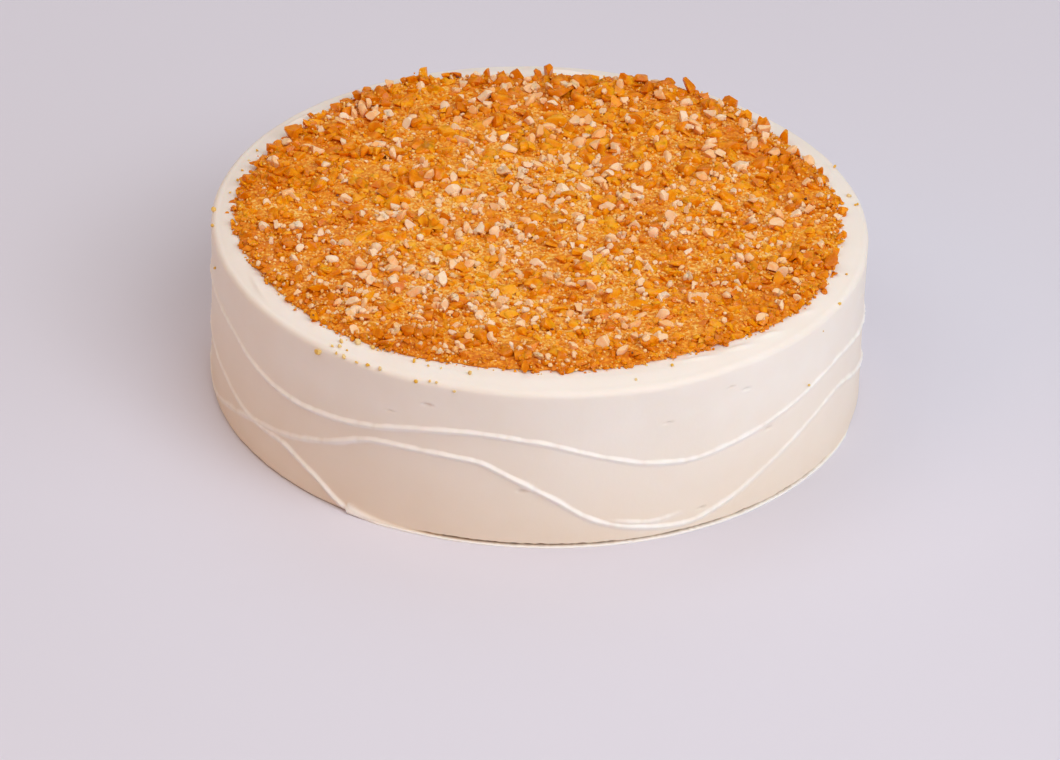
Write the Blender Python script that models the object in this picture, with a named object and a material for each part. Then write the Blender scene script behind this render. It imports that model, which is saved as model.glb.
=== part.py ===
"""A round praline cake: a drum coated in buttercream, with wavy palette-knife ridges round its side,
and a bed of crushed praline pressed onto its top. Metres, +Z up, origin at the centre of its base.
Angles run in degrees from the front (-Y) towards the right (+X)."""

import math
import random

import bmesh
import bpy
from mathutils import Euler, Matrix, Vector, geometry

MM = 0.001

# The coated drum
CAKE_RADIUS = 100.3 * MM
CAKE_HEIGHT = 55.0 * MM
TOP_FALL = 0.9 * MM  # the spread top falls this much
FALL_WIDTH = 4.5 * MM  # over this width along its rim
SHOULDER_RADIUS = 1.5 * MM  # the tight round between side and top
SHOULDER_STEPS = 2
FOOT_TUCK = 1.0 * MM  # how far the foot draws in below the side
FOOT_HEIGHT = 1.3 * MM
SIDE_ROWS = 5
DRUM_STEPS = 80
SIDE_WAVES = ((2, 0.35 * MM, 40), (3, 0.25 * MM, 110), (7, 0.12 * MM, 15))  # count, depth, start
BELLY = 0.5 * MM  # the side stands this much prouder near the shoulder

# The ridges that a palette knife left in the side: (angle, height in mm) at their turns.
# A full ring is closed by its first turn, and the others run from end to end.
UPPER_RIDGE = ((-83, 38), (-67, 36), (-47, 30), (-9, 38.3), (28, 25.6), (65, 34.6), (101, 27), (138, 36),
               (176, 27.5), (212, 37), (246, 30))
LOWER_RIDGE = ((-80, 2.6), (-59, 11), (-28, 28.6), (-14, 29.4), (6, 14.3), (25, 4.3), (65, 23.6), (104, 6),
               (148, 27), (194, 5), (238, 21))
FRONT_CROSSING = ((-124, 4), (-90, 19.5), (-60, 12.6), (-50, 12.6), (-32, 1.6))
BACK_CROSSING = ((158, 22), (180, 18), (222, 2.2))
RIDGE_THICKNESS = 1.2 * MM  # radius of the bead where it is full
RIDGE_SUNK = 0.2 * MM  # how far its centre lies under the surface
RIDGE_STEP = 360 / DRUM_STEPS
RIDGE_SWELL = 0.12  # how far its thickness comes and goes
THIN_END = 0.55  # an open ridge thins to this share
TAPER_ANGLE = 14  # over this much of its end
SMEAR_SWELL = 0.35  # and it swells by this share where it runs into the foot
SMEAR_SPREAD = 3.5  # over this angle

# The thin lip of cream pressed out round the foot, as arcs from angle to angle
FOOT_LIPS = ((-33, 76), (128, 214))
LIP_THICKNESS = 0.55 * MM
LIP_REACH = 0.3 * MM  # its centre beyond the tucked foot
LIP_END = 0.85  # how thick its ends are, as a share
BEAD_CLEAR = 0.05 * MM  # a ridge or lip stays this far above the base

# The praline bed
BED_GAP = 0.3 * MM
BED_RADIUS = 92.5 * MM
BED_WAVES = ((1, 0.3 * MM, -149), (2, 1.2 * MM, -78), (4, 0.8 * MM, -37), (5, 0.9 * MM, -2),
             (6, 0.9 * MM, -28), (7, 0.8 * MM, 4), (8, 0.4 * MM, 16))
BED_DEPTH = 2.1 * MM
BED_RIM = 0.5  # its depth at the rim, as a share
BED_SLOPE = 4 * MM  # how far in from the rim it gains its full depth
BED_ROUGHNESS = 0.65 * MM
BED_POINTS = 520
BED_EDGE_STEPS = 72

# The crumbs fused on the bed: how many, longest side from and to, flatness from and to
NUT_CRUMBS = (76, 4.2 * MM, 6.4 * MM, 0.62, 0.85)
CARAMEL_CRUMBS = (96, 4.2 * MM, 6.4 * MM, 0.45, 0.75)
EDGE_CRUMBS = (58, 3.2 * MM, 5.2 * MM, 0.60, 0.85)
CRUMB_CORNERS = 9
CRUMB_SUNK = (0.3, 0.9 * MM)  # how deep a crumb sits in the bed: a share of its height, and at least this
CRUMB_CLEAR = 0.15 * MM  # and how far it stays above the bed's underside
CRUMB_TILT = 0.5
EDGE_OVERLAP = (0.22, 0.42)  # how far in from the rim an edge crumb's centre lies, in shares of its size
RIM_MARGIN = 3 * MM  # the other crumbs keep this far in
GOLDEN_ANGLE = 137.508
SEED = 20
WELD = 0.01 * MM

CREAM = ((0.86, 0.79, 0.68, 1), 0.42)
PRALINE = ((0.72, 0.27, 0.03, 1), 0.35)


def around(angle, radius, height):
    """The point at that angle from the front, distance from the axis, and height."""
    turn = math.radians(angle)
    return Vector((radius * math.sin(turn), -radius * math.cos(turn), height))


def angle_of(point):
    return math.degrees(math.atan2(point.x, -point.y))


def waves(angle, parts):
    """Slow unevenness round the cake: a sum of waves of (count, depth, start)."""
    return sum(depth * math.cos(math.radians(count * (angle - start))) for count, depth, start in parts)


def side_radius(angle, height):
    """Radius of the coated side, uneven as a hand-spread coat is."""
    rise = min(max(height / CAKE_HEIGHT, 0), 1)
    return CAKE_RADIUS + waves(angle, SIDE_WAVES) * (0.4 + 0.6 * rise) + BELLY * (rise**3 - 0.3)


def bed_radius(angle):
    return BED_RADIUS + waves(angle, BED_WAVES)


def turn_slopes(knots):
    """Slope at each turn of a ridge: level at its high and low turns, and smooth between them."""
    steps = [(b[1] - a[1]) / (b[0] - a[0]) for a, b in zip(knots, knots[1:])]
    inner = [0 if p * q <= 0 else 2 * p * q / (p + q) for p, q in zip(steps, steps[1:])]
    return [0, *inner, 0]


def ridge_height(knots, slopes, angle):
    """Height in mm of the smooth line through the turns."""
    for (a0, z0), (a1, z1), s0, s1 in zip(knots, knots[1:], slopes, slopes[1:]):
        if angle <= a1:
            break
    wide = a1 - a0
    t = (angle - a0) / wide
    away = 1 - t
    return (z0 * (1 + 2 * t) + s0 * wide * t) * away**2 + (z1 * (3 - 2 * t) - s1 * wide * away) * t**2


def spun_mesh(name, profile, steps):
    """A closed mesh turned from a profile of (radius, height) that starts and ends on the axis."""
    bm = bmesh.new()
    verts = [bm.verts.new((0, -radius, height)) for radius, height in profile]
    edges = [bm.edges.new(pair) for pair in zip(verts, verts[1:])]
    bmesh.ops.spin(bm, geom=verts + edges, cent=(0, 0, 0), axis=(0, 0, 1), angle=math.tau, steps=steps,
                   use_merge=True, use_duplicate=False)
    bmesh.ops.remove_doubles(bm, verts=bm.verts, dist=WELD)
    bmesh.ops.recalc_face_normals(bm, faces=bm.faces)
    mesh = bpy.data.meshes.new(name)
    bm.to_mesh(mesh)
    bm.free()
    return mesh


def drum_mesh():
    """The coated drum: flat base and top, a tight shoulder, and a side that is never quite round."""
    centre = CAKE_RADIUS - SHOULDER_RADIUS
    profile = [(0, 0), (CAKE_RADIUS - FOOT_TUCK, 0)]
    side_top = CAKE_HEIGHT - TOP_FALL - SHOULDER_RADIUS
    for row in range(SIDE_ROWS + 1):
        profile.append((CAKE_RADIUS, FOOT_HEIGHT + (side_top - FOOT_HEIGHT) * row / SIDE_ROWS))
    for step in range(1, SHOULDER_STEPS + 1):
        turn = math.pi / 2 * step / SHOULDER_STEPS
        out, rise = SHOULDER_RADIUS * math.cos(turn), SHOULDER_RADIUS * math.sin(turn)
        profile.append((centre + out, side_top + rise))
    profile += [(centre - FALL_WIDTH, CAKE_HEIGHT), (0, CAKE_HEIGHT)]
    mesh = spun_mesh("frosted_cake", profile, DRUM_STEPS)
    for vert in mesh.vertices:
        out = vert.co.xy.length
        if out > centre - WELD:
            reach = side_radius(angle_of(vert.co), vert.co.z) - CAKE_RADIUS + out
            vert.co = around(angle_of(vert.co), reach, vert.co.z)
    return mesh


def bead_object(name, points, radii, closed):
    """A bead of cream along the points, as thick as its radii say."""
    curve = bpy.data.curves.new(name, "CURVE")
    curve.dimensions = "3D"
    curve.bevel_depth = 1
    curve.bevel_resolution = 1
    curve.use_fill_caps = True
    curve.twist_mode = "Z_UP"
    spline = curve.splines.new("POLY")
    spline.points.add(len(points) - 1)
    for knot, point, radius in zip(spline.points, points, radii):
        knot.co = (*point, 1)
        knot.radius = radius
    spline.use_cyclic_u = closed
    guide = bpy.data.objects.new(name, curve)
    bpy.context.scene.collection.objects.link(guide)
    bpy.context.view_layer.update()
    graph = bpy.context.evaluated_depsgraph_get()
    mesh = bpy.data.meshes.new_from_object(guide.evaluated_get(graph))
    bpy.data.objects.remove(guide)
    bm = bmesh.new()
    bm.from_mesh(mesh)
    bmesh.ops.remove_doubles(bm, verts=bm.verts, dist=WELD)
    bmesh.ops.recalc_face_normals(bm, faces=bm.faces)
    bm.to_mesh(mesh)
    bm.free()
    return bpy.data.objects.new(name, mesh)


def ridge_object(name, turns, closed=False, smeared=False):
    """One ridge: a bead that follows its turns, thicker here and thinner there, and half sunk in the side."""
    knots = list(turns)
    if closed:
        knots.append((turns[0][0] + 360, turns[0][1]))
    slopes = turn_slopes(knots)
    start, end = knots[0][0], knots[-1][0]
    count = round((end - start) / RIDGE_STEP) + (0 if closed else 1)
    points, radii = [], []
    for i in range(count):
        angle = start + RIDGE_STEP * i
        height = ridge_height(knots, slopes, min(angle, end)) * MM
        thickness = RIDGE_THICKNESS * (0.9 + RIDGE_SWELL * math.sin(math.radians(5 * angle)))
        if not closed:
            fade = min(1, (angle - start) / TAPER_ANGLE, 1 if smeared else (end - angle) / TAPER_ANGLE)
            thickness *= THIN_END + (1 - THIN_END) * max(fade, 0)
        if smeared:
            thickness *= 1 + SMEAR_SWELL * math.exp(-(((end - angle) / SMEAR_SPREAD) ** 2))
        height = max(height, thickness + BEAD_CLEAR)
        points.append(around(angle, side_radius(angle, height) - RIDGE_SUNK, height))
        radii.append(thickness)
    return bead_object(name, points, radii, closed)


def lip_object(name, start, end):
    """An arc of the thin lip of cream that the base pressed out onto what it stands on."""
    count = round((end - start) / RIDGE_STEP) + 1
    points, radii = [], []
    for i in range(count):
        angle = start + RIDGE_STEP * i
        reach = side_radius(angle, 0) - FOOT_TUCK + LIP_REACH
        points.append(around(angle, reach, LIP_THICKNESS + BEAD_CLEAR))
        radii.append(LIP_THICKNESS * (LIP_END if i in (0, count - 1) else 1))
    return bead_object(name, points, radii, False)


def bed_top(angle, radius):
    """Height of the bed there: full in the middle, and lower towards the rim."""
    inward = min(max((bed_radius(angle) - radius) / BED_SLOPE, 0), 1)
    return CAKE_HEIGHT + BED_GAP + BED_DEPTH * (BED_RIM + (1 - BED_RIM) * inward)


def bed_mesh():
    """The bed that carries the crumbs: rough on top, with an uneven edge and a flat underside."""
    draw = random.Random(SEED)
    turns = [360 * i / BED_EDGE_STEPS for i in range(BED_EDGE_STEPS)]
    edge = [around(angle, bed_radius(angle), 0).xy for angle in turns]
    inner = []
    for i in range(BED_POINTS):
        angle = i * GOLDEN_ANGLE
        share = math.sqrt((i + 0.5) / BED_POINTS)
        inner.append(around(angle, (bed_radius(angle) - RIM_MARGIN) * share, 0).xy)
    loop = [(i, (i + 1) % BED_EDGE_STEPS) for i in range(BED_EDGE_STEPS)]
    flat, _, faces, *_ = geometry.delaunay_2d_cdt(edge + inner, loop, [], 1, 1e-7)
    bm = bmesh.new()
    verts = [bm.verts.new((*point, 0)) for point in flat]
    for face in faces:
        bm.faces.new([verts[i] for i in face])
    floor = CAKE_HEIGHT + BED_GAP
    rim_edges = [e for e in bm.edges if e.is_boundary]
    rim_verts = {v for e in rim_edges for v in e.verts}
    for vert in bm.verts:
        rough = BED_ROUGHNESS * (0.5 if vert in rim_verts else 1)
        vert.co.z = bed_top(angle_of(vert.co), vert.co.xy.length) + draw.uniform(-1, 1) * rough
    wall = bmesh.ops.extrude_edge_only(bm, edges=rim_edges)["geom"]
    for vert in (part for part in wall if isinstance(part, bmesh.types.BMVert)):
        vert.co.z = floor
    bmesh.ops.contextual_create(bm, geom=[e for e in bm.edges if e.is_boundary])
    bmesh.ops.recalc_face_normals(bm, faces=bm.faces)
    mesh = bpy.data.meshes.new("praline_topping")
    bm.to_mesh(mesh)
    bm.free()
    return mesh


def crumb_mesh(name, draw, size, flatness):
    """One broken crumb: the hull of a few random corners, longer than it is thick."""
    bm = bmesh.new()
    for _ in range(CRUMB_CORNERS):
        corner = Vector((draw.gauss(0, 1), draw.gauss(0, 1), draw.gauss(0, 1))).normalized()
        bm.verts.new(corner * 0.5 * draw.uniform(0.85, 1))
    bmesh.ops.convex_hull(bm, input=bm.verts)
    loose = [v for v in bm.verts if not v.link_faces]
    bmesh.ops.delete(bm, geom=loose, context="VERTS")
    narrow = draw.uniform(0.65, 0.95)
    bmesh.ops.transform(bm, matrix=Matrix.Diagonal((size, size * narrow, size * flatness, 1)), verts=bm.verts)
    bmesh.ops.recalc_face_normals(bm, faces=bm.faces)
    mesh = bpy.data.meshes.new(name)
    bm.to_mesh(mesh)
    bm.free()
    return mesh


def crumb_object(name, draw, angle, radius, size, flatness):
    """A crumb pressed into the bed, kept clear of the cream below it."""
    mesh = crumb_mesh(name, draw, size, flatness)
    lean, roll = (draw.uniform(-CRUMB_TILT, CRUMB_TILT) for _ in range(2))
    mesh.transform(Euler((lean, roll, draw.uniform(0, math.tau))).to_matrix().to_4x4())
    low = min(vert.co.z for vert in mesh.vertices)
    tall = max(vert.co.z for vert in mesh.vertices) - low
    share, least = CRUMB_SUNK
    top = bed_top(angle, radius)
    sunk = min(max(share * tall, least), top - CAKE_HEIGHT - BED_GAP - CRUMB_CLEAR)
    mesh.transform(Matrix.Translation(around(angle, radius, top - sunk - low)))
    return bpy.data.objects.new(name, mesh)


def scattered_crumbs(name, crumbs, draw, turn):
    """Crumbs spread evenly over the bed on a sunflower spiral, most of them large."""
    count, small, large, flat_least, flat_most = crumbs
    made = []
    for i in range(count):
        share = math.sqrt((i + 0.5) / count)
        angle = turn + i * GOLDEN_ANGLE + draw.uniform(-3, 3)
        radius = (bed_radius(angle) - RIM_MARGIN) * min(share + draw.uniform(-0.02, 0.02), 1)
        size = large - (large - small) * draw.random() ** 0.6
        flatness = draw.uniform(flat_least, flat_most)
        made.append(crumb_object(f"{name}_{i}", draw, angle, radius, size, flatness))
    return made


def edge_crumbs(draw):
    """Crumbs along the edge of the bed, half on it, which make its outline ragged."""
    count, small, large, flat_least, flat_most = EDGE_CRUMBS
    made = []
    for i in range(count):
        angle = 360 * i / count + draw.uniform(-1.5, 1.5)
        size = draw.uniform(small, large)
        radius = bed_radius(angle) - draw.uniform(*EDGE_OVERLAP) * size
        flatness = draw.uniform(flat_least, flat_most)
        made.append(crumb_object(f"edge_{i}", draw, angle, radius, size, flatness))
    return made


def fused(name, mesh, pieces, material):
    """The mesh joined into one solid with the pieces, which are then removed."""
    obj = bpy.data.objects.new(name, mesh)
    bpy.context.scene.collection.objects.link(obj)
    group = bpy.data.collections.new(name + "_pieces")
    bpy.context.scene.collection.children.link(group)
    for piece in pieces:
        group.objects.link(piece)
    union = obj.modifiers.new("union", "BOOLEAN")
    union.operation = "UNION"
    union.operand_type = "COLLECTION"
    union.collection = group
    union.solver = "EXACT"
    bpy.context.view_layer.update()
    graph = bpy.context.evaluated_depsgraph_get()
    joined = bpy.data.meshes.new_from_object(obj.evaluated_get(graph))
    obj.modifiers.clear()
    obj.data = joined
    for piece in list(group.objects):
        bpy.data.objects.remove(piece)
    bpy.data.collections.remove(group)
    joined.materials.clear()
    joined.materials.append(material)
    return obj


def plain_material(name, look):
    colour, roughness = look
    material = bpy.data.materials.new(name)
    material.use_nodes = True
    surface = material.node_tree.nodes["Principled BSDF"]
    surface.inputs["Base Color"].default_value = colour
    surface.inputs["Roughness"].default_value = roughness
    surface.inputs["Metallic"].default_value = 0
    return material


def frosted_cake():
    beads = [
        ridge_object("upper_ridge", UPPER_RIDGE, closed=True),
        ridge_object("lower_ridge", LOWER_RIDGE, closed=True),
        ridge_object("front_crossing", FRONT_CROSSING, smeared=True),
        ridge_object("back_crossing", BACK_CROSSING, smeared=True),
    ]
    beads += [lip_object(f"foot_lip_{i}", *arc) for i, arc in enumerate(FOOT_LIPS)]
    cake = fused("frosted_cake", drum_mesh(), beads, plain_material("cream", CREAM))
    cake.data.shade_smooth()
    cake.data.set_sharp_from_angle(angle=math.radians(50))
    return cake


def praline_topping():
    draw = random.Random(SEED + 1)
    crumbs = scattered_crumbs("nut", NUT_CRUMBS, draw, 0)
    crumbs += scattered_crumbs("caramel", CARAMEL_CRUMBS, draw, 71)
    crumbs += edge_crumbs(draw)
    return fused("praline_topping", bed_mesh(), crumbs, plain_material("praline", PRALINE))


def main():
    for old in list(bpy.data.objects):
        bpy.data.objects.remove(old)
    frosted_cake()
    praline_topping()


main()
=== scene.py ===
import math
import random

import bmesh
import bpy
import numpy as np
from mathutils import Euler, Matrix, Vector, noise


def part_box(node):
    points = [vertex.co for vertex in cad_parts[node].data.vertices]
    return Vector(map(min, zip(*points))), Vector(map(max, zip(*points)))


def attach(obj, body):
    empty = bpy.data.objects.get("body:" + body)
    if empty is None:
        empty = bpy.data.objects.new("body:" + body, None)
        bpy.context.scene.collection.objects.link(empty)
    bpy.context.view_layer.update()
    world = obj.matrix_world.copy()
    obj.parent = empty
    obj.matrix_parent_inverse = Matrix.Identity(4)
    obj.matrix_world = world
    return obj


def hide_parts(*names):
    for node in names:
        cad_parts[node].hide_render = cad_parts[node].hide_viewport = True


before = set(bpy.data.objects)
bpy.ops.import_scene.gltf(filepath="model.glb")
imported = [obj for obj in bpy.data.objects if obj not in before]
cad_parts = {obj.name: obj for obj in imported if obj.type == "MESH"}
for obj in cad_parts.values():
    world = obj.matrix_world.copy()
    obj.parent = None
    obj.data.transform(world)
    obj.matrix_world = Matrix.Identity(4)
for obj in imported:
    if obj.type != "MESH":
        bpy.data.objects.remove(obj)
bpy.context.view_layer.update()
mm = 0.001
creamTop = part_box("frosted_cake")[1].z
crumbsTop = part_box("praline_topping")[1].z

# Angles are in degrees from the front (-Y) towards the right (+X), lengths in mm unless a note says so.


def polar(angle, radius, height):
    turn = math.radians(angle)
    return Vector((radius * math.sin(turn), -radius * math.cos(turn), height))


def meshOf(bm, name):
    mesh = bpy.data.meshes.new(name)
    bm.to_mesh(mesh)
    bm.free()
    return mesh


def coordsOf(mesh):
    flat = np.empty(len(mesh.vertices) * 3)
    mesh.vertices.foreach_get("co", flat)
    return flat.reshape(-1, 3)


def setCoords(mesh, coords):
    mesh.vertices.foreach_set("co", coords.ravel())
    mesh.update()


def addPiece(name, mesh, material):
    piece = bpy.data.objects.new(name, mesh)
    bpy.context.scene.collection.objects.link(piece)
    mesh.materials.append(material)
    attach(piece, "root")
    return piece


def wavesAt(angle, parts):
    return sum(depth * np.cos(np.radians(count * (angle - start))) for count, depth, start in parts)


def fieldAt(coords, scale, seed, stretch=(1, 1, 1)):
    # smooth noise, about -1 to 1, with features as large as scale (m)
    shift = Vector((seed * 3.7, seed * 1.3, seed * 2.1))
    grow = Vector(stretch) / scale
    return np.array([noise.noise(Vector(c) * grow + shift) for c in coords])


def dentsAt(coords, dents):
    return sum(fieldAt(coords, scale, seed, stretch) * deep for scale, seed, stretch, deep in dents)


def angleFrom(angle, start):
    # how far an angle lies past another, from -180 to 180
    return (angle - start + 180) % 360 - 180


def newMaterial(name, **sockets):
    material = bpy.data.materials.new(name)
    material.use_nodes = True
    surface = material.node_tree.nodes["Principled BSDF"]
    for socket, value in sockets.items():
        surface.inputs[socket.replace("_", " ")].default_value = value
    return material, material.node_tree, surface


def addNode(tree, kind, inputs=None, **settings):
    node = tree.nodes.new(kind)
    for key, value in settings.items():
        setattr(node, key, value)
    for key, value in (inputs or {}).items():
        # sockets of one name, as on a Mix node, differ by type: the enabled one is meant
        socket = node.inputs[key] if isinstance(key, int) else next(
            part for part in node.inputs if part.name == key and part.enabled)
        if isinstance(value, bpy.types.NodeSocket):
            tree.links.new(value, socket)
        else:
            socket.default_value = value
    return node


def rampOf(tree, source, stops):
    ramp = addNode(tree, "ShaderNodeValToRGB", {"Fac": source})
    band = ramp.color_ramp
    while len(band.elements) < len(stops):
        band.elements.new(0.5)
    for element, (place, colour) in zip(band.elements, stops):
        element.position = place
        element.color = (*colour, 1)
    return ramp.outputs["Color"]


def enabledOutput(node):
    return next(part for part in node.outputs if part.enabled)


def spreadOf(tree, noiseNode, least, most):
    # noise lies mostly between 0.3 and 0.7: this spreads that over least to most
    spread = addNode(tree, "ShaderNodeMapRange", {
        "Value": noiseNode.outputs["Fac"], "From Min": 0.3, "From Max": 0.7, "To Min": least, "To Max": most})
    return spread.outputs["Result"]


creamLook = {
    "pale": (0.91, 0.85, 0.775),
    "warm": (0.88, 0.805, 0.715),
    "ridge": (0.965, 0.925, 0.865),  # painted highlight on the ridges, the foot's lip and the tail
    "gap": (0.26, 0.17, 0.14),  # painted shade in the gap over the foot's lip, and in the pits
    "foot": (0.955, 0.885, 0.795),  # painted warm bounce light: the coat is painted this much warmer at its foot
    "paintedBounceHeight": 0.042,
    "sheen": (0.44, 0.6),  # roughness, least and most
    "glow": 0.25,
    "glowDepth": 0.0012,
    # noise, in features to the metre: pale and warm clouds, clouds of sheen, grain, and the knife's strokes,
    # with how far they are drawn out
    "clouds": 28,
    "smears": 90,
    "grain": 700,
    "strokes": (60, 12),
    "bump": (0.25, 0.00012),  # strength and distance
}


def creamMaterial():
    look = creamLook
    material, tree, surface = newMaterial(
        "buttercream", Subsurface_Weight=look["glow"], Subsurface_Scale=look["glowDepth"],
        Subsurface_Radius=(1.0, 0.72, 0.5), IOR=1.42, Specular_IOR_Level=0.4)
    place = addNode(tree, "ShaderNodeTexCoord").outputs["Object"]
    clouds = addNode(tree, "ShaderNodeTexNoise", {
        "Vector": place, "Scale": look["clouds"], "Detail": 4, "Roughness": 0.55})
    cream = rampOf(tree, clouds.outputs["Fac"], [(0.35, look["warm"]), (0.65, look["pale"])])
    # painted warm bounce light, strongest at the foot and gone higher up the side
    level = addNode(tree, "ShaderNodeSeparateXYZ", {"Vector": place}).outputs["Z"]
    share = addNode(tree, "ShaderNodeMapRange", {"Value": level, "From Max": look["paintedBounceHeight"]})
    bounceTint = rampOf(tree, share.outputs["Result"], [(0.0, look["foot"]), (1.0, (1, 1, 1))])
    shade = addNode(tree, "ShaderNodeMix", {"Factor": 1.0, "A": cream, "B": bounceTint},
                    data_type="RGBA", blend_type="MULTIPLY")
    # the mesh says where to paint highlight (its ridges, lip and tail) and where to paint shade (its gap and
    # pits)
    for mark, colour in (("crest", look["ridge"]), ("gap", look["gap"])):
        here = addNode(tree, "ShaderNodeAttribute", attribute_name=mark).outputs["Fac"]
        shade = addNode(tree, "ShaderNodeMix", {"Factor": here, "A": enabledOutput(shade), "B": (*colour, 1)},
                        data_type="RGBA")
    tree.links.new(enabledOutput(shade), surface.inputs["Base Color"])
    smears = addNode(tree, "ShaderNodeTexNoise", {"Vector": place, "Scale": look["smears"], "Detail": 3})
    tree.links.new(spreadOf(tree, smears, *look["sheen"]), surface.inputs["Roughness"])
    # fine grain of whipped cream, and the faint strokes that the knife drew round it
    fineness, drawn = look["strokes"]
    strength, distance = look["bump"]
    grain = addNode(tree, "ShaderNodeTexNoise", {
        "Vector": place, "Scale": look["grain"], "Detail": 3, "Roughness": 0.6})
    flow = addNode(tree, "ShaderNodeMapping", {"Vector": place, "Scale": (1, 1, drawn)})
    strokes = addNode(tree, "ShaderNodeTexNoise", {
        "Vector": flow.outputs["Vector"], "Scale": fineness, "Detail": 3})
    both = addNode(tree, "ShaderNodeMath", {0: strokes.outputs["Fac"], 1: grain.outputs["Fac"]},
                   operation="ADD")
    bump = addNode(tree, "ShaderNodeBump", {
        "Height": both.outputs["Value"], "Strength": strength, "Distance": distance})
    tree.links.new(bump.outputs["Normal"], surface.inputs["Normal"])
    return material


def crumbMaterial(name, look):
    # each crumb carries its own tint from 0 to 1, and small clouds vary it across the crumb
    material, tree, surface = newMaterial(
        name, Subsurface_Weight=look["glow"], Subsurface_Scale=look["glowDepth"],
        Subsurface_Radius=look["glowColour"], IOR=1.5, Specular_IOR_Level=look["shine"],
        Coat_Weight=look["coat"], Coat_Roughness=0.12)
    place = addNode(tree, "ShaderNodeTexCoord").outputs["Object"]
    tint = addNode(tree, "ShaderNodeAttribute", attribute_name="tint").outputs["Fac"]
    clouds = addNode(tree, "ShaderNodeTexNoise", {"Vector": place, "Scale": look["cloud"], "Detail": 3})
    drift = spreadOf(tree, clouds, -look["drift"], look["drift"])
    shade = addNode(tree, "ShaderNodeMath", {0: tint, 1: drift}, operation="ADD", use_clamp=True)
    tree.links.new(rampOf(tree, shade.outputs["Value"], look["colours"]), surface.inputs["Base Color"])
    tree.links.new(spreadOf(tree, clouds, *look["sheen"]), surface.inputs["Roughness"])
    pores = addNode(tree, "ShaderNodeTexNoise", {"Vector": place, "Scale": look["pores"], "Detail": 2})
    bump = addNode(tree, "ShaderNodeBump", {
        "Height": pores.outputs["Fac"], "Strength": 0.6, "Distance": 0.0002})
    tree.links.new(bump.outputs["Normal"], surface.inputs["Normal"])
    return material


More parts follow.
